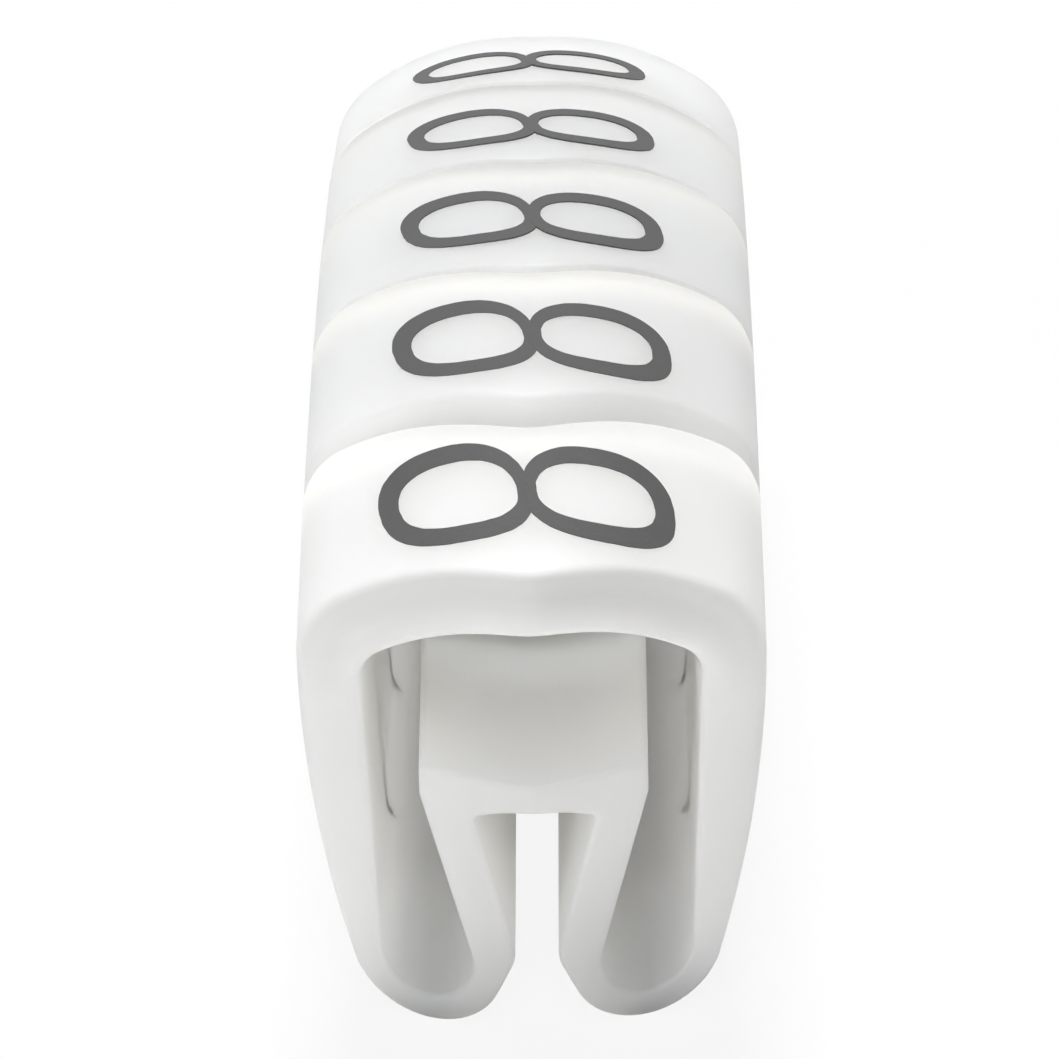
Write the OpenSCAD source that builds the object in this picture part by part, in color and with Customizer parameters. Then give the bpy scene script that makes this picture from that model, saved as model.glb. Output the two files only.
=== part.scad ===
// Strip of slide-on cable markers.
// A soft white extrusion is cut from above into short markers by V-shaped cuts.
// The cuts stop short of the feet, so the markers stay joined there and the strip arches open at each cut.
// The wire lies in the chamber over the web; the folded legs and the slot below let a marker stretch over it.
// The strip runs along Y and stands on the feet of its two ends. Its V tips point to -Y.

/* [Body] */
// Width across the shoulders
body_w = 4.95; // [4.4:0.05:6.2]
// Height from the feet to the top of the crown
body_h = 5.88; // [5.2:0.02:8]
// Radius of the crown
crown_r = 3.3; // [3.2:0.1:6]
// Radius of the shoulders
shoulder_r = 1.15; // [0.8:0.05:1.6]

/* [Walls] */
// Thickness of the wall under the crown
top_wall = 0.75; // [0.5:0.01:1]
// Thickness of the side wall at the shoulders
side_wall = 0.68; // [0.4:0.01:0.9]
// Radius of the chamber's upper corners
chamber_corner_r = 0.55; // [0.3:0.05:0.8]

/* [Feet] */
// Outer radius of the feet
foot_r = 0.81; // [0.7:0.01:1]
// Thickness of the wall round the feet
foot_wall = 0.32; // [0.2:0.01:0.45]
// Width of the slot's mouth, where the legs come closest
mouth_w = 0.46; // [0.2:0.02:0.8]
// Height of the mouth above the feet's lowest points
mouth_z = 1.05; // [0.9:0.01:1.3]
// Outer radius of the knees on both sides of the mouth
knee_r = 0.45; // [0.2:0.01:0.6]

/* [Legs and web] */
// Lean of the legs from upright, in degrees
leg_lean = 15; // [8:1:20]
// Thickness of the legs
leg_wall = 0.5; // [0.3:0.01:0.6]
// Width of the web across its top
web_w = 2.42; // [2:0.02:2.8]
// Thickness of the web where it meets the legs
web_wall = 0.5; // [0.35:0.01:0.7]
// Rise of the slot's arched roof under the web
roof_rise = 0.14; // [0.05:0.01:0.25]
// Open height of the chamber from the web to the top wall
chamber_h = 1.9; // [1.5:0.02:2.6]
// Radius of the slot's upper corners
slot_corner_r = 0.1; // [0.05:0.01:0.2]

/* [Strip] */
// Number of markers in the strip
markers = 5; // [2:1:10]
// Length of one marker along the strip
pitch = 3.0; // [2:0.1:6]
// Angle of each half of a cut from straight across, in degrees
cut_angle = 22; // [0:1:30]
// Height of the feet left uncut
uncut_h = 0.45; // [0.3:0.05:0.8]
// Opening of the first cut, in degrees
first_opening = 5.4; // [1:0.1:8]
// Opening of every other cut, in degrees
opening = 4.6; // [1:0.1:6]

/* [Hidden] */
$fn = 96;

half_w = body_w / 2;
// Clearance by which the cutting shapes run past the body
overrun = 1;

// Crown and shoulders: two arcs that meet smoothly
crown_c = [0, body_h - crown_r];
shoulder_x = half_w - shoulder_r;
shoulder_c = [shoulder_x, crown_c.y + sqrt(pow(crown_r - shoulder_r, 2) - pow(shoulder_x, 2))];

// Legs: straight bars that touch the pockets on one side and the knees on the other
leg_up = [sin(leg_lean), cos(leg_lean)];
leg_inward = [-cos(leg_lean), sin(leg_lean)];

// Feet: round bends of one wall about each pocket, placed so that the knees leave the mouth its width
pocket_r = foot_r - foot_wall;
leg_reach = pocket_r + leg_wall;
knee_c = [mouth_w / 2 + knee_r, mouth_z];
foot_c = [knee_c.x + (leg_reach - knee_r - (mouth_z - foot_r) * leg_inward.y) / leg_up.y, foot_r];

// Sides: one long arc, upright at the shoulder, that runs smoothly into the foot
foot_inset = half_w - foot_c.x;
foot_drop = shoulder_c.y - foot_c.y;
side_r = (pow(foot_inset, 2) + pow(foot_drop, 2) - pow(foot_r, 2)) / (2 * (foot_inset - foot_r));
side_c = [half_w - side_r, shoulder_c.y];

// Chamber: its ceiling follows the crown, with rounded corners
ceiling_r = crown_r - top_wall;
corner_x = half_w - side_wall - chamber_corner_r;
corner_c = [corner_x, crown_c.y + sqrt(pow(ceiling_r - chamber_corner_r, 2) - pow(corner_x, 2))];

// Web and slot
web_top = body_h - top_wall - chamber_h;
slot_top = web_top - web_wall;

// The bend of the strip, from the first cut to marker k
function turned(k) = k == 0 ? 0 : first_opening + (k - 1) * opening;
// Where the cut before marker k hinges, as [y, z], with the whole strip tipped back by angle tip
function hinge(k, tip) =
    k == 0 ? [0, 0] : hinge(k - 1, tip) + pitch * [cos(tip - turned(k - 1)), sin(tip - turned(k - 1))];

// The strip is tipped so that the feet of both ends stand level
run = hinge(markers, 0);
tilt = -atan2(run.y, run.x);
last_pitch = tilt - turned(markers - 1);

// Each marker hinges over the middle of its feet, at the root of the cut
cut_slope = tan(cut_angle);
hinge_offset = foot_c.x * cut_slope;

// Lowest point of an end face at angle a, below its hinge
function end_drop(a) =
    foot_r * norm([cut_slope * sin(a), cos(a)]) - (foot_r - uncut_h) * cos(a);

// Front and rear reach of the strip from its first hinge
front_reach = -hinge_offset * cos(tilt) - (body_h - uncut_h) * sin(tilt);
rear_a = [cut_slope * cos(last_pitch), -sin(last_pitch)];
rear_reach = hinge(markers, tilt).x
    + rear_a * (shoulder_c - [foot_c.x, uncut_h])
    + shoulder_r * norm(rear_a);
start = [0, -(front_reach + rear_reach) / 2, max(end_drop(tilt), end_drop(last_pitch))];

function mirrored(p) = [-p.x, p.y];
// Unit vector across the line that touches two circles on the same side:
// 1 for the left and -1 for the right, seen from the first circle towards the second
function touching(c1, r1, c2, r2, side) =
    let (d = c2 - c1, across = atan2(d.y, d.x) + side * acos((r1 - r2) / norm(d)))
    [cos(across), sin(across)];

module both_sides() {
    children();
    mirror([1, 0]) children();
}

module disc(c, r) {
    translate(c) circle(r);
}

// The part of a disc that lies over the two lines from its centre through point p and its mirror image
module dome(c, r, p) {
    reach = c + (p - c) * 2 * r / norm(p - c);
    intersection() {
        disc(c, r);
        polygon([c, reach, [reach.x, c.y + 2 * r], [-reach.x, c.y + 2 * r], mirrored(reach)]);
    }
}

// The bulging side between shoulder and foot
module flank() {
    outward = (foot_c - side_c) / norm(foot_c - side_c);
    intersection() {
        disc(side_c, side_r, $fn = 400);
        polygon([
            shoulder_c,
            [half_w + overrun, shoulder_c.y],
            [half_w + overrun, foot_c.y],
            foot_c + outward * (foot_r + overrun),
            foot_c
        ]);
    }
}

// Outline without its feet
module trunk() {
    dome(crown_c, crown_r, shoulder_c);
    both_sides() disc(shoulder_c, shoulder_r);
    both_sides() flank();
    polygon([shoulder_c, foot_c, mirrored(foot_c), mirrored(shoulder_c)]);
}

// The slot between the legs, with its arched roof, open below between the feet
module slot() {
    corner_z = slot_top - slot_corner_r;
    leg_run = (corner_z - foot_c.y) * leg_inward.y - leg_reach - slot_corner_r;
    corner = [foot_c.x + leg_run / leg_up.y, corner_z];
    roof_r = (pow(corner.x, 2) + pow(roof_rise, 2)) / (2 * roof_rise);
    intersection() {
        disc([0, slot_top + roof_rise - roof_r], roof_r);
        translate([-corner.x, corner_z]) square([2 * corner.x, web_wall]);
    }
    both_sides() disc(corner, slot_corner_r);
    both_sides() polygon([
        [0, slot_top],
        [corner.x, slot_top],
        corner,
        corner - slot_corner_r * leg_inward,
        knee_c + knee_r * leg_inward,
        knee_c,
        foot_c,
        [foot_c.x, 0],
        [0, 0]
    ]);
}

// The round feet, each with the knee that its leg stands on
module feet() {
    inward = touching(foot_c, foot_r, knee_c, knee_r, 1);
    both_sides() disc(foot_c, foot_r);
    both_sides() disc(knee_c, knee_r);
    both_sides() polygon([foot_c, foot_c + foot_r * inward, knee_c + knee_r * inward, knee_c]);
}

// Legs and web together, as they stand in the cavity
module legs_and_web() {
    foot_of_leg = foot_c + pocket_r * leg_inward;
    top_of_leg = foot_of_leg + leg_up * body_h;
    intersection() {
        polygon([
            foot_c,
            foot_of_leg,
            top_of_leg,
            mirrored(top_of_leg),
            mirrored(foot_of_leg),
            mirrored(foot_c)
        ]);
        translate([-web_w / 2, 0]) square([web_w, web_top]);
    }
}

// The chamber and the two pockets that hang from it
module cavity() {
    across = touching(foot_c, pocket_r, corner_c, chamber_corner_r, -1);
    wall_foot = foot_c + pocket_r * across;
    wall_head = corner_c + chamber_corner_r * across;
    difference() {
        union() {
            dome(crown_c, ceiling_r, corner_c);
            both_sides() disc(corner_c, chamber_corner_r);
            polygon([
                foot_c,
                wall_foot,
                wall_head,
                corner_c,
                crown_c,
                mirrored(corner_c),
                mirrored(wall_head),
                mirrored(wall_foot),
                mirrored(foot_c)
            ]);
        }
        legs_and_web();
    }
    both_sides() disc(foot_c, pocket_r);
}

module section() {
    difference() {
        union() {
            difference() {
                trunk();
                slot();
            }
            feet();
        }
        cavity();
    }
}

// Plan of one marker between two V-shaped cuts
module plan() {
    x = half_w + overrun;
    y = x * cut_slope;
    polygon([[-x, y], [0, 0], [x, y], [x, pitch + y], [0, pitch], [-x, pitch + y]]);
}

// One straight marker with its V tip at the origin
module marker() {
    length = pitch + half_w * cut_slope + overrun;
    intersection() {
        translate([0, length, 0]) rotate([90, 0, 0]) linear_extrude(length + overrun) section();
        translate([0, 0, -overrun]) linear_extrude(body_h + 2 * overrun) plan();
    }
}

module marker_strip() {
    color([0.94, 0.94, 0.92])
    translate(start)
    for (k = [0 : markers - 1]) {
        at = hinge(k, tilt);
        translate([0, at.x, at.y])
        rotate([tilt - turned(k), 0, 0])
        translate([0, -hinge_offset, -uncut_h])
        marker();
    }
}

marker_strip();
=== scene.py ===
"""A strip of slide-on cable markers: a soft white extrusion, cut into joined markers.

Each marker has a printed figure. The strip lies along Y with the tips of its V-shaped cuts towards -Y,
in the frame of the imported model, in metres.
"""

import math
from typing import NamedTuple

import bmesh
import bpy
from bpy.props import FloatProperty, FloatVectorProperty, IntProperty, PointerProperty
from bpy.types import Operator, Panel, PropertyGroup
from mathutils import Matrix, Quaternion, Vector, noise


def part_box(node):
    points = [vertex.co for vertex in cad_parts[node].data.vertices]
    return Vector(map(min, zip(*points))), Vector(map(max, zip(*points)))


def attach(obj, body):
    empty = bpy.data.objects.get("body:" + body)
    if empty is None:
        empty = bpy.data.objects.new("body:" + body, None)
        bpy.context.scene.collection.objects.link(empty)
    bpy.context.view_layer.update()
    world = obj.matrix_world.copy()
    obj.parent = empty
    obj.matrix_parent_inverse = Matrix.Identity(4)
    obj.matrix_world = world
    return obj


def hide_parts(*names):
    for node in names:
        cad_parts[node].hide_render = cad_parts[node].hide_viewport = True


bl_info = {
    "name": "Cable marker strip",
    "version": (1, 0, 0),
    "blender": (4, 5, 0),
    "location": "3D View > Sidebar > Cable Marker",
    "description": "Builds a strip of slide-on cable markers with printed figures, and a studio for it",
    "category": "Add Mesh",
}

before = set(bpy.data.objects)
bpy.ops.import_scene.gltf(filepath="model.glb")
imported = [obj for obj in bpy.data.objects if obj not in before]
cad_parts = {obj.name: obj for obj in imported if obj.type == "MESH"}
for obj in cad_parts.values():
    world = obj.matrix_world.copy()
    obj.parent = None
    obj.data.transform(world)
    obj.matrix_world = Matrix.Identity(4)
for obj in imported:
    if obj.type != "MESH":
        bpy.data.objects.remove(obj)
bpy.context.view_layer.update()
STRIP_NODE = "marker_strip"
BODY = "root"
MM = 0.001
# Edges that turn by more than this are shaded as sharp ones
SHARP_ANGLE = math.radians(40)
# Points of the strip that lie closer than this are one
MERGE_DISTANCE = 0.00001 * MM
# Nearest distance that the camera sees
CLIP_START = 1 * MM
# How often light is passed on, in all and between diffuse surfaces
LIGHT_BOUNCES = 16
DULL_BOUNCES = 12
# Waves of the marks in plastic and ink, in a metre along each axis
CLOUD_WAVES = (420, 260, 420)
DRAWN_LINE_WAVES = (9000, 120, 9000)
PLASTIC_GRAIN_WAVES = (16000, 16000, 16000)
DRAG_MARK_WAVES = (7000, 7000, 900)
INK_GRAIN_WAVES = (21000, 21000, 21000)
INK_PATCH_WAVES = (2600, 2600, 2600)
# Depth of the marks in the plastic and of the grain in the ink
PLASTIC_RELIEF = 3e-6
INK_RELIEF = 2e-6
# Share of the light that travels in the plastic, how far it gets, and how far in red, green and blue
SCATTER_SHARE = 0.85
SCATTER_LENGTH = 7 * MM
SCATTER_TINT = (1.0, 0.95, 0.85)


def length(name, millimetres, description):
    """A size that is given in millimetres and kept in metres."""
    return FloatProperty(
        name=name,
        description=description,
        default=millimetres * MM,
        precision=5,
        subtype="DISTANCE",
        unit="LENGTH",
    )


def angle(name, degrees, description):
    """An angle that is given in degrees and kept in radians."""
    return FloatProperty(
        name=name,
        description=description,
        default=math.radians(degrees),
        subtype="ANGLE",
        unit="ROTATION",
    )


def share(name, value, description):
    """A plain number between nothing and one."""
    return FloatProperty(name=name, description=description, default=value, min=0, max=1, subtype="FACTOR")


def colour(name, value, description):
    """A colour in linear light."""
    return FloatVectorProperty(
        name=name, description=description, default=value, size=3, min=0, max=1, subtype="COLOR"
    )


def place(name, millimetres, description):
    """A point that is given in millimetres and kept in metres."""
    return FloatVectorProperty(
        name=name,
        description=description,
        default=[value * MM for value in millimetres],
        size=3,
        precision=5,
        subtype="TRANSLATION",
        unit="LENGTH",
    )


class SectionSettings(PropertyGroup):
    """Sizes of the extrusion's cross-section."""

    body_w: length("Body width", 4.95, "Width across the shoulders")
    body_h: length("Body height", 5.88, "Height from the feet to the top of the crown")
    crown_r: length("Crown radius", 3.3, "Radius of the crown")
    shoulder_r: length("Shoulder radius", 1.15, "Radius of the shoulders")
    top_wall: length("Top wall", 0.75, "Thickness of the wall under the crown")
    side_wall: length("Side wall", 0.68, "Thickness of the side wall at the shoulders")
    chamber_corner_r: length("Chamber corner", 0.55, "Radius of the chamber's upper corners")
    foot_r: length("Foot radius", 0.81, "Outer radius of the feet")
    foot_wall: length("Foot wall", 0.32, "Thickness of the wall round the feet")
    mouth_w: length("Mouth width", 0.46, "Width of the slot's mouth, where the legs come closest")
    mouth_z: length("Mouth height", 1.05, "Height of the mouth above the feet's lowest points")
    knee_r: length("Knee radius", 0.45, "Outer radius of the knees on both sides of the mouth")
    leg_lean: angle("Leg lean", 15, "Lean of the legs from upright")
    leg_wall: length("Leg wall", 0.5, "Thickness of the legs")
    web_w: length("Web width", 2.42, "Width of the web across its top")
    web_wall: length("Web wall", 0.5, "Thickness of the web where it meets the legs")
    web_edge_r: length("Web edge", 0.09, "Radius of the web's upper edges")
    roof_rise: length("Roof rise", 0.14, "Rise of the slot's arched roof under the web")
    chamber_h: length("Chamber height", 1.9, "Open height of the chamber from the web to the top wall")
    slot_corner_r: length("Slot corner", 0.1, "Radius of the slot's upper corners")


class StripSettings(PropertyGroup):
    """Sizes of the strip and of the cuts across it."""

    markers: IntProperty(
        name="Markers", description="Number of markers in the strip", default=5, min=2, max=10
    )
    pitch: length("Pitch", 3.0, "Length of one marker along the strip")
    cut_angle: angle("Cut angle", 22, "Angle of each half of a cut from straight across")
    uncut_h: length("Uncut height", 0.45, "Height of the feet left uncut")
    first_opening: angle("First opening", 5.4, "Opening of the first cut")
    opening: angle("Opening", 4.6, "Opening of every other cut")
    tip_r: length("Tip radius", 0.2, "How far from its middle the V of a cut starts to round off")
    lip: share("Lip", 0.16, "Radius of the rounded lips of a cut face as a share of the wall's thickness")
    inner_lip: share("Inner lip", 0.02, "The same for the lips inside the strip where markers join")
    far_lip: share("Far lip", 0.08, "The same for the outer lips of the cuts after the first")
    far_closing: share("Far closing", 0.65, "How far the soft walls close the cuts after the first")
    skin: share("Skin", 0.15, "Share of the wall's thickness that holds together inside the strip")
    skin_top: length("Skin top", 4.0, "Height up to which that skin reaches")
    skin_fade_h: length("Skin fade", 1.0, "Height over which the cuts open above the skin")
    lip_fade_h: length("Lip fade", 0.7, "Height over which the lips fade out towards the root of a cut")
    dish: share("Dish", 0.1, "Hollow of a cut face under the crown as a share of the wall's thickness")
    flare: length("Flare", 0.12, "How far the inner lip of an open end stands forward under the crown")
    flare_start: share("Flare start", 0.4, "Share of the wall's thickness at which the flare starts")
    dish_h: length("Dish height", 1.7, "Height under the crown over which hollow and flare fade out")
    # The blade's dull mark is painted shade: a darker matt grey over the upper part of each open end's cut
    # face
    painted_shade_share: share("Dull share", 0.6, "Share of the wall over which the blade's dull mark fades")
    painted_shade_h: length("Dull height", 2.6, "Height under the crown over which the blade's dull mark fades out")
    wobble: length("Wobble", 0.025, "How far a cut wanders from its plane")
    wobble_length: length("Wobble length", 1.4, "Distance over which a cut wanders")


class FigureSettings(PropertyGroup):
    """Sizes of the printed figures."""

    ink_h: length("Ink height", 0.006, "How far the ink stands over the crown")
    ink_sink: length("Ink sink", 0.012, "How far the ink reaches into the crown")
    rag: length("Ragged edge", 0.006, "How far the edge of the ink wanders")
    rag_length: length("Rag length", 0.12, "Distance over which the edge of the ink wanders")
    shrink_across: share("Shrink across", 0.03, "How much narrower each figure is than the one before it")
    shrink_along: share("Shrink along", 0.07, "How much shorter each figure is than the one before it")
    advance: length("Advance", 0.11, "How much nearer to the V tip each figure lies than the one before it")
    bend: length("Bend", 0.1, "How much further back the ends of each figure lie than on the one before it")


class FinishSettings(PropertyGroup):
    """Colours of the strip and of its print."""

    skin: colour("Skin", (0.986, 0.982, 0.963), "Soft white plastic")
    # Grey of the painted shade over the upper part of the open ends' cut faces
    painted_shade_colour: colour("Dulled skin", (0.68, 0.677, 0.662), "Plastic that the blade has dulled at an open end")
    clouded: colour("Clouded skin", (0.976, 0.97, 0.947), "The greyer clouds in the plastic")
    ink: colour("Ink", (0.052, 0.052, 0.053), "Dark grey printing ink")
    worn_ink: colour("Thin ink", (0.076, 0.076, 0.077), "Ink where the print is thin")


class StageSettings(PropertyGroup):
    """Camera, lamps and floor."""

    aim: place("Aim", (0, -6.925, 5.52), "The point that the camera looks at")
    azimuth: angle("Azimuth", 0.709, "Direction of the camera round the strip, from straight in front")
    elevation: angle("Elevation", 22.29, "Height of the camera over the horizon")
    roll: angle("Roll", -1.148, "Turn of the camera about its line of sight")
    distance: length("Distance", 88.5, "Distance of the camera from the point it looks at")
    lens: FloatProperty(
        name="Lens", description="Focal length on a full-frame sensor", default=286.12, unit="CAMERA"
    )
    floor_size: length("Floor", 3000, "Side of the square floor")
    floor_colour: colour("Floor colour", (0.8, 0.8, 0.8), "White paper under the strip")
    sky: share("Sky", 0.1, "Strength of the light from all round")
    paper_glow: share("Paper glow", 0.88, "Share of plain white in the floor as the camera sees it")


GROUPS = {
    "section": SectionSettings,
    "strip": StripSettings,
    "figures": FigureSettings,
    "finish": FinishSettings,
    "stage": StageSettings,
}


class MarkerSettings(PropertyGroup):
    """All settings of the strip and its studio."""

    section: PointerProperty(type=SectionSettings)
    strip: PointerProperty(type=StripSettings)
    figures: PointerProperty(type=FigureSettings)
    finish: PointerProperty(type=FinishSettings)
    stage: PointerProperty(type=StageSettings)


class Value:
    """An output of a node, which takes part in sums as a number does. Each step adds a Math node."""

    def __init__(self, graph, socket):
        self.graph = graph
        self.socket = socket

    def math(self, operation, *values):
        sockets = dict(enumerate(values))
        return self.graph.node("ShaderNodeMath", {"operation": operation}, sockets)

    def __add__(self, other):
        return self.math("ADD", self, other)

    def __sub__(self, other):
        return self.math("SUBTRACT", self, other)

    def __mul__(self, other):
        return self.math("MULTIPLY", self, other)

    def __rsub__(self, other):
        return self.math("SUBTRACT", other, self)

    __radd__ = __add__
    __rmul__ = __mul__

    def clamped(self):
        return self.graph.node("ShaderNodeClamp", {}, {"Value": self})


class Graph:
    """The nodes of one material or world."""

    MIX_COLOUR_FACTOR = 0
    MIX_COLOUR_A = 6
    MIX_COLOUR_B = 7
    MIX_COLOUR_RESULT = 2

    def __init__(self, owner):
        owner.use_nodes = True
        self.tree = owner.node_tree
        self.tree.nodes.clear()

    def node(self, kind, settings=None, sockets=None, output=0):
        """Adds a node, sets it up, fills its sockets with values or links and returns one of its outputs."""
        made = self.tree.nodes.new(kind)
        for name, value in (settings or {}).items():
            setattr(made, name, value)
        for name, value in (sockets or {}).items():
            if isinstance(value, Value):
                self.tree.links.new(value.socket, made.inputs[name])
            else:
                made.inputs[name].default_value = value
        if not made.outputs:
            return None
        return Value(self, made.outputs[output])

    def mix_colour(self, factor, a, b):
        sockets = {
            self.MIX_COLOUR_FACTOR: factor,
            self.MIX_COLOUR_A: a,
            self.MIX_COLOUR_B: b,
        }
        settings = {"data_type": "RGBA"}
        return self.node("ShaderNodeMix", settings, sockets, self.MIX_COLOUR_RESULT)

    def noise(self, where, stretch, detail=2.0):
        """Noise over the surface, with its number of waves in a metre along each axis."""
        scaled = self.node(
            "ShaderNodeVectorMath", {"operation": "MULTIPLY"}, {0: where, 1: stretch}
        )
        sockets = {"Vector": scaled, "Scale": 1.0, "Detail": detail}
        return self.node("ShaderNodeTexNoise", {}, sockets, "Fac")

    def where(self):
        return self.node("ShaderNodeTexCoord", output="Object")


def opaque(rgb):
    return (*rgb, 1.0)


def soft_white_plastic(finish):
    """Soft white plastic: faint clouds, drawn lines along its length, drag marks on its cut faces, and
    painted shade, a darker matt grey, over the upper part of each open end's cut face.
    """
    material = bpy.data.materials.new("soft_white_plastic")
    graph = Graph(material)
    where = graph.where()
    clouds = graph.noise(where, CLOUD_WAVES, 1.0)
    drawn_lines = graph.noise(where, DRAWN_LINE_WAVES, 0.0)
    grain = graph.noise(where, PLASTIC_GRAIN_WAVES, 1.0)
    drag_marks = graph.noise(where, DRAG_MARK_WAVES, 0.0)
    cut = graph.node("ShaderNodeAttribute", {"attribute_name": "cut"}, output="Fac")
    height = (1 - cut) * (drawn_lines * 0.6 + grain * 0.4) + cut * (drag_marks * 1.2 + grain * 0.6)
    relief = {"Strength": 0.35, "Distance": PLASTIC_RELIEF, "Height": height}
    bump = graph.node("ShaderNodeBump", {}, relief)
    cloud_share = (clouds * 2.2 - 0.6).clamped()
    # Painted shade: where this share is high, a darker matt grey takes the place of the white plastic, over
    # the upper part of each open end's cut face
    painted_shade = graph.node("ShaderNodeAttribute", {"attribute_name": "painted_shade"}, output="Fac")
    smooth = graph.node(
        "ShaderNodeBsdfPrincipled",
        {"subsurface_method": "RANDOM_WALK"},
        {
            "Base Color": graph.mix_colour(cloud_share, opaque(finish.skin), opaque(finish.clouded)),
            "Roughness": grain * 0.12 + cut * 0.08 + 0.40,
            "IOR": 1.46,
            "Specular IOR Level": 0.4,
            "Subsurface Weight": SCATTER_SHARE,
            "Subsurface Radius": SCATTER_TINT,
            "Subsurface Scale": SCATTER_LENGTH,
            "Normal": bump,
        },
    )
    # Surface of the painted shade: its darker grey stands for shade, and its matt finish for the rough cut
    painted_shade_matt = graph.node(
        "ShaderNodeBsdfPrincipled",
        {},
        {
            "Base Color": opaque(finish.painted_shade_colour),
            "Roughness": 0.6,
            "Specular IOR Level": 0.3,
            "Normal": bump,
        },
    )
    surface = graph.node("ShaderNodeMixShader", {}, {0: painted_shade, 1: smooth, 2: painted_shade_matt})
    graph.node("ShaderNodeOutputMaterial", {}, {"Surface": surface})
    return material


def printing_ink(finish):
    """Dark grey ink with a fine uneven grain."""
    material = bpy.data.materials.new("printing_ink")
    graph = Graph(material)
    where = graph.where()
    grain = graph.noise(where, INK_GRAIN_WAVES, 4.0)
    patches = graph.noise(where, INK_PATCH_WAVES)
    thin = (grain * 1.6 + patches * 0.9 - 0.75).clamped()
    relief = {"Strength": 0.3, "Distance": INK_RELIEF, "Height": grain}
    bump = graph.node("ShaderNodeBump", {}, relief)
    surface = graph.node(
        "ShaderNodeBsdfPrincipled",
        {},
        {
            "Base Color": graph.mix_colour(thin, opaque(finish.ink), opaque(finish.worn_ink)),
            "Roughness": thin * 0.15 + 0.5,
            "Specular IOR Level": 0.3,
            "Normal": bump,
        },
    )
    graph.node("ShaderNodeOutputMaterial", {}, {"Surface": surface})
    return material


def arc(centre, radius, start, stop):
    """A path along an arc, between two angles, for a share of its length."""

    def path(t):
        a = start + (stop - start) * t
        return centre + radius * Vector((math.cos(a), math.sin(a)))

    return path


def line(start, stop):
    """A straight path for a share of its length."""
    return lambda t: start.lerp(stop, t)


def heading(vector):
    return math.atan2(vector.y, vector.x)


def eased(t):
    """A share that leaves nothing and reaches one smoothly."""
    t = min(max(t, 0.0), 1.0)
    return t * t * (3 - 2 * t)


def touching(c1, r1, c2, r2, side):
    """Angle across the line that touches two circles on the same side.

    The side is 1 for the left and -1 for the right, seen from the first circle towards the second.
    """
    between = c2 - c1
    return heading(between) + side * math.acos((r1 - r2) / between.length)


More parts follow.
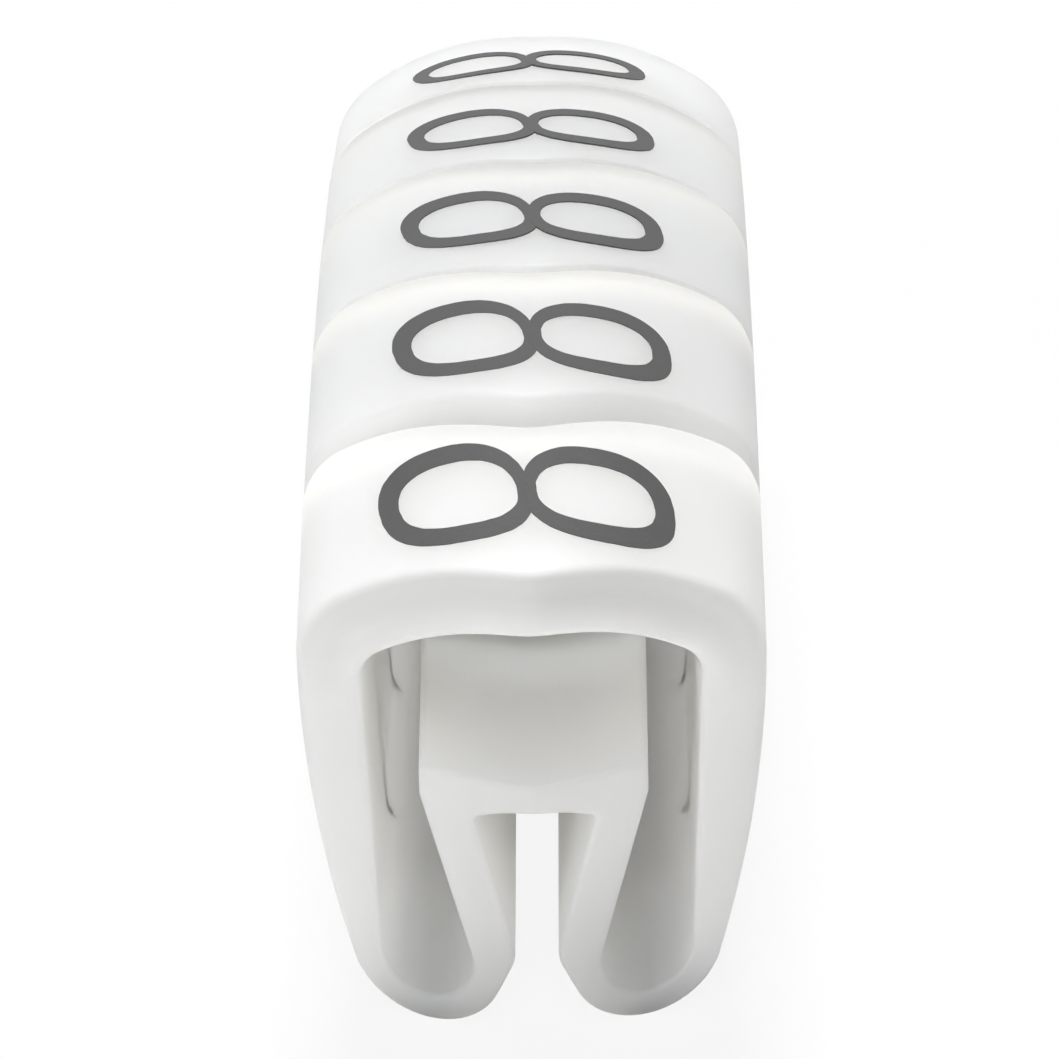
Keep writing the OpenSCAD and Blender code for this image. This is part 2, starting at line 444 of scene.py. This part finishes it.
class Section:
    """The extrusion's cross-section, in columns.

    A column is a point of the outside and the point of the cavity that faces it. The columns run clockwise
    from the top, seen from the front. The soles are the parts of the feet left uncut.
    """

    # Number of columns in each stretch of the right half, from the top down
    COLUMNS = {
        "crown": 18,
        "shoulder": 16,
        "side": 14,
        "heel": 6,
        "sole": 20,
        "toe": 2,
        "toe to knee": 5,
        "knee": 8,
        "leg": 10,
        "web side": 4,
        "web edge": 5,
        "web": 12,
    }
    # Shares of the pocket's turn behind a sole at which the toe ends and the knee starts
    TOE_END = 0.15
    KNEE_START = 0.6

    def __init__(self, size, uncut_h):
        self.lay_out(size)
        self.outer = []
        self.inner = []
        self.sole = []
        for name, outside, inside in self.right_half(size, uncut_h):
            count = self.COLUMNS[name]
            for i in range(count):
                self.add(outside(i / count), inside(i / count), name == "sole")
        self.add(outside(1), inside(1), False)
        self.close_soles()
        self.mirror()
        self.wall = [(b - a).length for a, b in zip(self.outer, self.inner)]

    def add(self, outer, inner, in_sole):
        self.outer.append(outer)
        self.inner.append(inner)
        self.sole.append(in_sole)

    def close_soles(self):
        """Counts the column after a sole's last one as part of it."""
        last = max(i for i, in_sole in enumerate(self.sole) if in_sole)
        self.sole[last + 1] = True

    def mirror(self):
        """Adds the left half."""
        flip = Vector((-1, 1))
        for i in range(len(self.outer) - 2, 0, -1):
            self.add(self.outer[i] * flip, self.inner[i] * flip, self.sole[i])

    def lay_out(self, size):
        """Works out the centres of the arcs."""
        half_w = size.body_w / 2
        self.crown_c = Vector((0, size.body_h - size.crown_r))
        shoulder_x = half_w - size.shoulder_r
        shoulder_z = math.sqrt((size.crown_r - size.shoulder_r) ** 2 - shoulder_x**2)
        self.shoulder_c = Vector((shoulder_x, self.crown_c.y + shoulder_z))
        self.leg_up = Vector((math.sin(size.leg_lean), math.cos(size.leg_lean)))
        self.leg_inward = Vector((-math.cos(size.leg_lean), math.sin(size.leg_lean)))

        self.pocket_r = size.foot_r - size.foot_wall
        self.leg_reach = self.pocket_r + size.leg_wall
        self.knee_c = Vector((size.mouth_w / 2 + size.knee_r, size.mouth_z))
        knee_gap = self.leg_reach - size.knee_r - (size.mouth_z - size.foot_r) * self.leg_inward.y
        self.foot_c = Vector((self.knee_c.x + knee_gap / self.leg_up.y, size.foot_r))

        foot_inset = half_w - self.foot_c.x
        foot_drop = self.shoulder_c.y - self.foot_c.y
        self.side_r = (foot_inset**2 + foot_drop**2 - size.foot_r**2) / (2 * (foot_inset - size.foot_r))
        self.side_c = Vector((half_w - self.side_r, self.shoulder_c.y))

        self.ceiling_r = size.crown_r - size.top_wall
        corner_x = half_w - size.side_wall - size.chamber_corner_r
        corner_z = math.sqrt((self.ceiling_r - size.chamber_corner_r) ** 2 - corner_x**2)
        self.corner_c = Vector((corner_x, self.crown_c.y + corner_z))

        self.web_top = size.body_h - size.top_wall - size.chamber_h
        self.slot_top = self.web_top - size.web_wall
        slot_corner_z = self.slot_top - size.slot_corner_r
        leg_run = (slot_corner_z - self.foot_c.y) * self.leg_inward.y - self.leg_reach - size.slot_corner_r
        self.slot_corner_c = Vector((self.foot_c.x + leg_run / self.leg_up.y, slot_corner_z))
        self.roof_r = (self.slot_corner_c.x**2 + size.roof_rise**2) / (2 * size.roof_rise)
        self.roof_c = Vector((0, self.slot_top + size.roof_rise - self.roof_r))

    def right_half(self, size, uncut_h):
        """The stretches of the right half from the top down: name, outer path and inner path."""
        up = math.pi / 2
        foot_r, pocket_r, knee_r = size.foot_r, self.pocket_r, size.knee_r
        shoulder_a = heading(self.shoulder_c - self.crown_c)
        corner_a = heading(self.corner_c - self.crown_c)
        wall_a = touching(self.foot_c, pocket_r, self.corner_c, size.chamber_corner_r, -1)
        wall_across = Vector((math.cos(wall_a), math.sin(wall_a)))
        side_a = heading(self.foot_c - self.side_c)

        # Angles about a foot at which the outside and the pocket cross the root of the cuts
        outer_root = math.asin((uncut_h - foot_r) / foot_r)
        inner_root = math.asin((uncut_h - foot_r) / pocket_r)
        toe_a = touching(self.foot_c, foot_r, self.knee_c, knee_r, 1) - 2 * math.pi
        toe_across = Vector((math.cos(toe_a), math.sin(toe_a)))
        leg_a = heading(self.leg_inward) - 2 * math.pi
        inner_back = -math.pi - inner_root
        pocket_turn = leg_a - inner_back
        toe_end = inner_back + self.TOE_END * pocket_turn
        knee_start = inner_back + self.KNEE_START * pocket_turn

        leg_foot = self.foot_c + pocket_r * self.leg_inward
        web_x = size.web_w / 2
        leg_top = leg_foot + self.leg_up * ((web_x - leg_foot.x) / self.leg_up.x)
        edge_r = size.web_edge_r
        web_edge_c = Vector((web_x - edge_r, self.web_top - edge_r))
        slot_corner_c, slot_r = self.slot_corner_c, size.slot_corner_r
        slot_side_a = heading(-self.leg_inward)
        slot_middle_a = (slot_side_a + up) / 2
        roof_a = heading(Vector((slot_corner_c.x, self.slot_top)) - self.roof_c)

        return (
            (
                "crown",
                arc(self.crown_c, size.crown_r, up, shoulder_a),
                arc(self.crown_c, self.ceiling_r, up, corner_a),
            ),
            (
                "shoulder",
                arc(self.shoulder_c, size.shoulder_r, shoulder_a, 0),
                arc(self.corner_c, size.chamber_corner_r, corner_a, wall_a),
            ),
            (
                "side",
                arc(self.side_c, self.side_r, 0, side_a),
                line(
                    self.corner_c + size.chamber_corner_r * wall_across,
                    self.foot_c + pocket_r * wall_across,
                ),
            ),
            (
                "heel",
                arc(self.foot_c, foot_r, side_a, outer_root),
                arc(self.foot_c, pocket_r, wall_a, inner_root),
            ),
            (
                "sole",
                arc(self.foot_c, foot_r, outer_root, -math.pi - outer_root),
                arc(self.foot_c, pocket_r, inner_root, inner_back),
            ),
            (
                "toe",
                arc(self.foot_c, foot_r, -math.pi - outer_root, toe_a),
                arc(self.foot_c, pocket_r, inner_back, toe_end),
            ),
            (
                "toe to knee",
                line(self.foot_c + foot_r * toe_across, self.knee_c + knee_r * toe_across),
                arc(self.foot_c, pocket_r, toe_end, knee_start),
            ),
            (
                "knee",
                arc(self.knee_c, knee_r, toe_a, leg_a),
                arc(self.foot_c, pocket_r, knee_start, leg_a),
            ),
            (
                "leg",
                line(
                    self.knee_c + knee_r * self.leg_inward,
                    slot_corner_c - slot_r * self.leg_inward,
                ),
                line(leg_foot, leg_top),
            ),
            (
                "web side",
                arc(slot_corner_c, slot_r, slot_side_a, slot_middle_a),
                line(leg_top, Vector((web_x, web_edge_c.y))),
            ),
            (
                "web edge",
                arc(slot_corner_c, slot_r, slot_middle_a, up),
                arc(web_edge_c, edge_r, 0, up),
            ),
            (
                "web",
                arc(self.roof_c, self.roof_r, roof_a, up),
                line(Vector((web_edge_c.x, self.web_top)), Vector((0, self.web_top))),
            ),
        )


class Spot(NamedTuple):
    """A point of a ring: 1 in cut on a cut face, and 1 in painted shade where an open end's cut face is
    painted darkest.

    A closed point is one where the two faces of a cut are still one.
    """

    point: Vector
    cut: float
    painted_shade: float
    closed: bool


class Chain:
    """The strip: where each marker stands, and the rings of points round its walls."""

    LIP_STEPS = 4
    FACE_STEPS = 6
    LENGTH_STEPS = 8
    # Distance in the noise between one cut and the next
    CUT_SEED_STEP = 7.3

    def __init__(self, section, size, body_h, foot_r):
        self.section = section
        self.size = size
        self.body_h = body_h
        self.slope = math.tan(size.cut_angle)
        self.places = self.stand(body_h, foot_r)

    def stand(self, body_h, foot_r):
        """The places of the markers, each turned about the root of the cut before it."""
        size = self.size
        turned = [0.0]
        turned += [size.first_opening + i * size.opening for i in range(size.markers - 1)]
        hinges = [Vector((0, 0))]
        for turn in turned:
            hinges.append(hinges[-1] + size.pitch * Vector((math.cos(turn), -math.sin(turn))))
        tilt = -heading(hinges[-1])
        hinge_offset = self.section.foot_c.x * self.slope
        rise = body_h - size.uncut_h

        def end_drop(lean):
            across = Vector((self.slope * math.sin(lean), math.cos(lean)))
            return foot_r * across.length - (foot_r - size.uncut_h) * math.cos(lean)

        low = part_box(STRIP_NODE)[0]
        front_reach = -hinge_offset * math.cos(tilt) - rise * math.sin(tilt)
        drop = max(end_drop(tilt), end_drop(tilt - turned[-1]))
        start = Vector((0, low.y - front_reach, low.z + drop))
        tipped = Matrix.Rotation(tilt, 2)
        places = []
        for hinge, turn in zip(hinges, turned):
            at = tipped @ hinge
            places.append(
                Matrix.Translation(start + Vector((0, at.x, at.y)))
                @ Matrix.Rotation(tilt - turn, 4, "X")
                @ Matrix.Translation(Vector((0, -hinge_offset, -size.uncut_h)))
            )
        return places

    def wander(self, x, z, cut):
        """How far the given cut strays from its plane."""
        step = self.size.wobble_length
        return self.size.wobble * noise.noise(Vector((x / step, z / step, cut * self.CUT_SEED_STEP)))

    def on_face(self, k, i, depth, recess, rear):
        """A point of marker k behind its front or rear cut, at a share of the wall's thickness."""
        p = self.section.outer[i].lerp(self.section.inner[i], depth)
        y = math.hypot(p.x, self.size.tip_r) * self.slope + self.wander(p.x, p.y, k + rear)
        y += self.size.pitch - recess if rear else recess
        return self.places[k] @ Vector((p.x, y, p.y))

    def joined(self, k, rear):
        """True where another marker follows at that end."""
        return k + 1 < self.size.markers if rear else k > 0

    def lip(self, rounded, wall):
        """The points round a lip, as shares of the wall's thickness and distances behind the cut face."""
        points = []
        for step in range(self.LIP_STEPS + 1):
            a = math.pi / 2 * step / self.LIP_STEPS
            points.append((rounded * (1 - math.cos(a)), rounded * (1 - math.sin(a)) * wall))
        return points

    def meeting(self, z, depth, cut):
        """How nearly the faces of a cut meet: up to the shoulders they come together in the skin inside."""
        size = self.size
        held = size.far_closing if cut > 1 else 0.0
        reach = min(depth / (1 - size.skin), 1.0)
        inside = eased((size.skin_top + size.skin_fade_h - z) / size.skin_fade_h) * eased(2 * reach - 1)
        return held + (1 - held) * inside

    def end_points(self, k, i, rear):
        """The spots across a cut face, from the outside over both rounded lips to the cavity."""
        section, size = self.section, self.size
        joined = self.joined(k, rear)
        in_sole = joined and section.sole[i]
        z = section.outer[i].y
        wall = section.wall[i]
        skinned = in_sole or (joined and z < size.skin_top)
        fade = 1.0
        if joined:
            fade = 0.0 if in_sole else eased((z - size.uncut_h) / size.lip_fade_h)
        under_crown = fade * eased(1 - (self.body_h - z) / size.dish_h)
        dish = under_crown * size.dish * wall
        flare = 0.0 if joined else under_crown * size.flare
        cut = k + rear
        outer_share = fade * (size.far_lip if joined and cut > 1 else size.lip)
        if skinned:
            inner_share = size.skin
            steps = range(self.LIP_STEPS + 1)
            inside = [(1 - size.skin * (1 - step / self.LIP_STEPS), 0.0) for step in steps]
        else:
            inner_share = fade * (size.inner_lip if joined else size.lip)
            inside = [(1 - depth, recess) for depth, recess in reversed(self.lip(inner_share, wall))]
        outside = self.lip(outer_share, wall)
        for step in range(1, self.FACE_STEPS):
            outside.append((outer_share + (1 - outer_share - inner_share) * step / self.FACE_STEPS, 0.0))
        spots = []
        for n, (depth, recess) in enumerate(outside + inside):
            flared = max(depth - size.flare_start, 0.0) / (1 - size.flare_start)
            hollow = recess + dish * 4 * depth * (1 - depth) - flare * flared**2
            point = self.on_face(k, i, depth, hollow, rear)
            closed = in_sole or (skinned and n >= len(outside))
            painted_shade = 0.0
            if joined:
                neighbour = self.on_face(k + 1 if rear else k - 1, i, depth, hollow, not rear)
                point = point.lerp((point + neighbour) / 2, 1.0 if closed else self.meeting(z, depth, cut))
            else:
                # Painted shade: darkest just inside the outer lip near the top, fading downwards and towards
                # the cavity
                painted_shade = eased(1 - (self.body_h - z) / size.painted_shade_h)
                painted_shade *= eased(depth / outer_share) * eased((1 - depth) / size.painted_shade_share)
            spots.append(Spot(point, 1.0, painted_shade, closed))
        return spots

    def between(self, start, stop):
        """The points of a ring between two cut faces."""
        shares = [step / self.LENGTH_STEPS for step in range(1, self.LENGTH_STEPS)]
        return [Spot(start.point.lerp(stop.point, t), 0.0, 0.0, False) for t in shares]

    def ring(self, k, i):
        """The closed ring of points round the wall of marker k at one column."""
        front = self.end_points(k, i, False)
        rear = self.end_points(k, i, True)
        return rear + self.between(rear[-1], front[-1]) + front[::-1] + self.between(front[0], rear[0])

    def add_marker(self, mesh, k):
        """Adds one marker to the mesh, left open where it is one with the next."""
        rings = [self.ring(k, i) for i in range(len(self.section.outer))]
        grid = [[self.add_spot(mesh, spot) for spot in ring] for ring in rings]
        for i in range(len(rings)):
            j = (i + 1) % len(rings)
            for v in range(len(rings[i])):
                w = (v + 1) % len(rings[i])
                corners = ((i, v), (j, v), (j, w), (i, w))
                if not all(rings[a][b].closed for a, b in corners):
                    mesh.faces.new([grid[a][b] for a, b in corners])

    def add_spot(self, mesh, spot):
        vert = mesh.verts.new(spot.point)
        vert[mesh.verts.layers.float["cut"]] = spot.cut
        vert[mesh.verts.layers.float["painted_shade"]] = spot.painted_shade
        return vert

    def build(self):
        """The mesh of the whole strip."""
        mesh = bmesh.new()
        for name in ("cut", "painted_shade"):
            mesh.verts.layers.float.new(name)
        for k in range(self.size.markers):
            self.add_marker(mesh, k)
        bmesh.ops.delete(mesh, geom=[v for v in mesh.verts if not v.link_faces], context="VERTS")
        bmesh.ops.remove_doubles(mesh, verts=mesh.verts, dist=MERGE_DISTANCE)
        bmesh.ops.dissolve_degenerate(mesh, edges=mesh.edges, dist=MERGE_DISTANCE)
        bmesh.ops.recalc_face_normals(mesh, faces=mesh.faces)
        return mesh


class Loop(NamedTuple):
    """One loop of a printed figure, in millimetres: across the crown and along the marker from its V tip."""

    centre: tuple
    half_size: tuple
    hole_centre: tuple
    hole_half_size: tuple
    lean: float


FIGURE = (
    Loop((-0.837, 1.83), (0.82, 0.993), (-0.796, 1.812), (0.634, 0.647), -0.18),
    Loop((0.734, 1.74), (0.825, 0.911), (0.689, 1.745), (0.639, 0.573), -0.063),
)
# Middle of a figure along its marker, and half its width
FIGURE_MIDDLE_Y = 1.78 * MM
FIGURE_HALF_W = 1.6 * MM
# How far off the middle each figure is printed, in millimetres
FIGURE_SHIFTS = (0.03, 0.08, 0.065, 0.03, -0.02)
# Seed of the ragged edges of the print
RAG_SEED = 8
# Power of the rounded ovals: 2 gives an ellipse, and more gives fuller corners
ROUNDNESS = 2.46


def oval(centre, half_size, lean, t):
    """A point on a rounded oval that leans along the marker, for a share of the way round it."""
    a = 2 * math.pi * t
    x = math.copysign(abs(math.cos(a)) ** (2 / ROUNDNESS), math.cos(a)) * half_size[0]
    y = math.copysign(abs(math.sin(a)) ** (2 / ROUNDNESS), math.sin(a)) * half_size[1]
    return Vector((centre[0] + x + lean * y, centre[1] + y)) * MM


class FigurePrint:
    """The ink of one figure, laid over the crown of one marker."""

    ROUND_STEPS = 128
    STROKE_STEPS = 4
    # Distance in the noise between one figure and the next
    FIGURE_SEED_STEP = 3.1
    # How much higher a loop stands than the one before it, as a share of the ink's height
    LOOP_STEP = 0.3

    def __init__(self, chain, size, crown_r, k):
        self.chain = chain
        self.size = size
        self.crown_r = crown_r
        self.k = k
        self.across = (1 - size.shrink_across) ** k
        self.along = (1 - size.shrink_along) ** k
        self.shift = FIGURE_SHIFTS[k % len(FIGURE_SHIFTS)] * MM

    def ragged(self, p, edge):
        """Moves a point of the outline by the ragged edge of the print."""
        step = self.size.rag_length
        seed = Vector((p.x / step, p.y / step, self.k * self.FIGURE_SEED_STEP + edge))
        return p + self.size.rag * noise.noise_vector(seed).xy

    def on_crown(self, p, height):
        """A point of the print at a height over the crown."""
        turn = (p.x * self.across + self.shift) / self.crown_r
        radius = self.crown_r + height
        centre = self.chain.section.crown_c
        y = FIGURE_MIDDLE_Y + (p.y - FIGURE_MIDDLE_Y) * self.along
        y += self.k * (self.size.bend * (p.x / FIGURE_HALF_W) ** 2 - self.size.advance)
        z = centre.y + radius * math.cos(turn)
        return self.chain.places[self.k] @ Vector((radius * math.sin(turn), y, z))

    def add_loop(self, mesh, loop, height):
        rings = []
        for step in range(self.ROUND_STEPS):
            t = step / self.ROUND_STEPS
            outer = self.ragged(oval(loop.centre, loop.half_size, loop.lean, t), 0)
            inner = self.ragged(oval(loop.hole_centre, loop.hole_half_size, loop.lean, t), 1)
            across = [outer.lerp(inner, s / self.STROKE_STEPS) for s in range(self.STROKE_STEPS + 1)]
            points = [self.on_crown(outer, -self.size.ink_sink)]
            points += [self.on_crown(p, height) for p in across]
            points += [self.on_crown(inner, -self.size.ink_sink)]
            rings.append([mesh.verts.new(point) for point in points])
        for ring, following in zip(rings, rings[1:] + rings[:1]):
            for v in range(len(ring)):
                w = (v + 1) % len(ring)
                mesh.faces.new((ring[v], following[v], following[w], ring[w]))

    def build(self):
        """The mesh of the figure.

        Each loop stands a little higher than the one before it, so their tops never lie level.
        """
        mesh = bmesh.new()
        for i, loop in enumerate(FIGURE):
            self.add_loop(mesh, loop, self.size.ink_h * (1 + self.LOOP_STEP * i))
        bmesh.ops.recalc_face_normals(mesh, faces=mesh.faces)
        return mesh


def add_piece(name, mesh, material):
    """Turns a mesh into a piece of the strip that takes its finish from the given slot."""
    data = bpy.data.meshes.new(name)
    mesh.to_mesh(data)
    mesh.free()
    data.materials.append(material)
    piece = bpy.data.objects.new(name, data)
    bpy.context.scene.collection.objects.link(piece)
    data.shade_smooth()
    data.set_sharp_from_angle(angle=SHARP_ANGLE)
    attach(piece, BODY)
    return piece


def make_chain(settings):
    section = Section(settings.section, settings.strip.uncut_h)
    return Chain(section, settings.strip, settings.section.body_h, settings.section.foot_r)


class CABLEMARKER_OT_strip(Operator):
    """Build the white strip of joined markers"""

    bl_idname = "cable_marker.strip"
    bl_label = "Build Strip"

    def execute(self, context):
        settings = context.scene.cable_marker
        mesh = make_chain(settings).build()
        piece = add_piece("strip_of_markers", mesh, soft_white_plastic(settings.finish))
        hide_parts(STRIP_NODE)
        even = piece.modifiers.new("even_shading", "WEIGHTED_NORMAL")
        even.keep_sharp = True
        return {"FINISHED"}


class CABLEMARKER_OT_figures(Operator):
    """Print a figure on each marker"""

    bl_idname = "cable_marker.figures"
    bl_label = "Print Figures"

    def execute(self, context):
        settings = context.scene.cable_marker
        chain = make_chain(settings)
        ink = printing_ink(settings.finish)
        noise.seed_set(RAG_SEED)
        for k in range(settings.strip.markers):
            figure = FigurePrint(chain, settings.figures, settings.section.crown_r, k)
            add_piece(f"figure_{k + 1}", figure.build(), ink)
        return {"FINISHED"}


class Lamp(NamedTuple):
    """A soft square lamp: where it hangs and how wide it is, in millimetres, and its power in watts."""

    name: str
    place: tuple
    width: float
    power: float


LAMPS = (
    Lamp("key_lamp", (-165, -245, 40), 110, 0.26),
    Lamp("low_lamp", (-30, -293, 15), 100, 0.11),
    Lamp("front_lamp", (0, -190, 230), 100, 0.13),
    Lamp("top_lamp", (-5, 65, 293), 90, 0.9),
)


def white_for_camera(graph, share_of_white, other):
    """Plain white where the camera looks straight at it, sees it reflected or sees it through glass."""
    looks = ("Is Camera Ray", "Is Glossy Ray", "Is Transmission Ray")
    straight, glossy, through = (graph.node("ShaderNodeLightPath", output=look) for look in looks)
    seen = (straight + glossy + through).clamped()
    white = graph.node("ShaderNodeEmission", {}, {"Color": (1, 1, 1, 1), "Strength": 1.0})
    return graph.node("ShaderNodeMixShader", {}, {0: seen * share_of_white, 1: other, 2: white})


class CABLEMARKER_OT_stage(Operator):
    """Set up the floor, the lamps, the sky and the camera"""

    bl_idname = "cable_marker.stage"
    bl_label = "Set Up Studio"

    def execute(self, context):
        stage = context.scene.cable_marker.stage
        self.lay_floor(context, stage)
        self.light_sky(context, stage)
        for lamp in LAMPS:
            self.hang_lamp(context, lamp)
        self.set_camera(context, stage)
        context.scene.view_settings.view_transform = "Standard"
        context.scene.cycles.use_light_tree = False
        context.scene.cycles.max_bounces = LIGHT_BOUNCES
        context.scene.cycles.diffuse_bounces = DULL_BOUNCES
        return {"FINISHED"}

    def lay_floor(self, context, stage):
        mesh = bmesh.new()
        bmesh.ops.create_grid(mesh, x_segments=1, y_segments=1, size=stage.floor_size / 2)
        data = bpy.data.meshes.new("floor")
        mesh.to_mesh(data)
        mesh.free()
        material = bpy.data.materials.new("white_paper")
        # Its white is only seen, and lights nothing
        material.cycles.emission_sampling = "NONE"
        graph = Graph(material)
        paper = graph.node("ShaderNodeBsdfDiffuse", {}, {"Color": opaque(stage.floor_colour)})
        surface = white_for_camera(graph, stage.paper_glow, paper)
        graph.node("ShaderNodeOutputMaterial", {}, {"Surface": surface})
        data.materials.append(material)
        floor = bpy.data.objects.new("floor", data)
        context.scene.collection.objects.link(floor)

    def light_sky(self, context, stage):
        world = bpy.data.worlds.new("studio")
        context.scene.world = world
        graph = Graph(world)
        sky = graph.node("ShaderNodeBackground", {}, {"Color": (1, 1, 1, 1), "Strength": stage.sky})
        surface = white_for_camera(graph, 1.0, sky)
        graph.node("ShaderNodeOutputWorld", {}, {"Surface": surface})

    def hang_lamp(self, context, lamp):
        data = bpy.data.lights.new(lamp.name, "AREA")
        data.shape = "SQUARE"
        data.size = lamp.width * MM
        data.energy = lamp.power
        hung = bpy.data.objects.new(lamp.name, data)
        hung.location = Vector(lamp.place) * MM
        hung.rotation_mode = "QUATERNION"
        hung.rotation_quaternion = (-hung.location).to_track_quat("-Z", "Y")
        context.scene.collection.objects.link(hung)

    def set_camera(self, context, stage):
        data = bpy.data.cameras.new("camera")
        data.lens = stage.lens
        data.clip_start = CLIP_START
        camera = bpy.data.objects.new("camera", data)
        level = math.cos(stage.elevation)
        back = Vector(
            (
                math.sin(stage.azimuth) * level,
                -math.cos(stage.azimuth) * level,
                math.sin(stage.elevation),
            )
        )
        camera.location = Vector(stage.aim) + back * stage.distance
        camera.rotation_mode = "QUATERNION"
        upright = (-back).to_track_quat("-Z", "Y")
        camera.rotation_quaternion = upright @ Quaternion((0, 0, 1), stage.roll)
        context.scene.collection.objects.link(camera)
        context.scene.camera = camera


class CABLEMARKER_PT_panel(Panel):
    """Settings and building steps of the cable marker strip"""

    bl_idname = "CABLEMARKER_PT_panel"
    bl_label = "Cable Marker"
    bl_space_type = "VIEW_3D"
    bl_region_type = "UI"
    bl_category = "Cable Marker"

    def draw(self, context):
        settings = context.scene.cable_marker
        for group in GROUPS:
            box = self.layout.box()
            box.label(text=group.capitalize())
            part = getattr(settings, group)
            for name in part.__annotations__:
                box.prop(part, name)
        for operator in OPERATORS:
            self.layout.operator(operator.bl_idname)


OPERATORS = (CABLEMARKER_OT_strip, CABLEMARKER_OT_figures, CABLEMARKER_OT_stage)
CLASSES = (*GROUPS.values(), MarkerSettings, *OPERATORS, CABLEMARKER_PT_panel)


def register():
    for cls in CLASSES:
        bpy.utils.register_class(cls)
    bpy.types.Scene.cable_marker = PointerProperty(type=MarkerSettings)


def unregister():
    del bpy.types.Scene.cable_marker
    for cls in reversed(CLASSES):
        bpy.utils.unregister_class(cls)


def main():
    register()
    bpy.ops.cable_marker.strip()
    bpy.ops.cable_marker.figures()
    bpy.ops.cable_marker.stage()


if __name__ == "__main__":
    main()
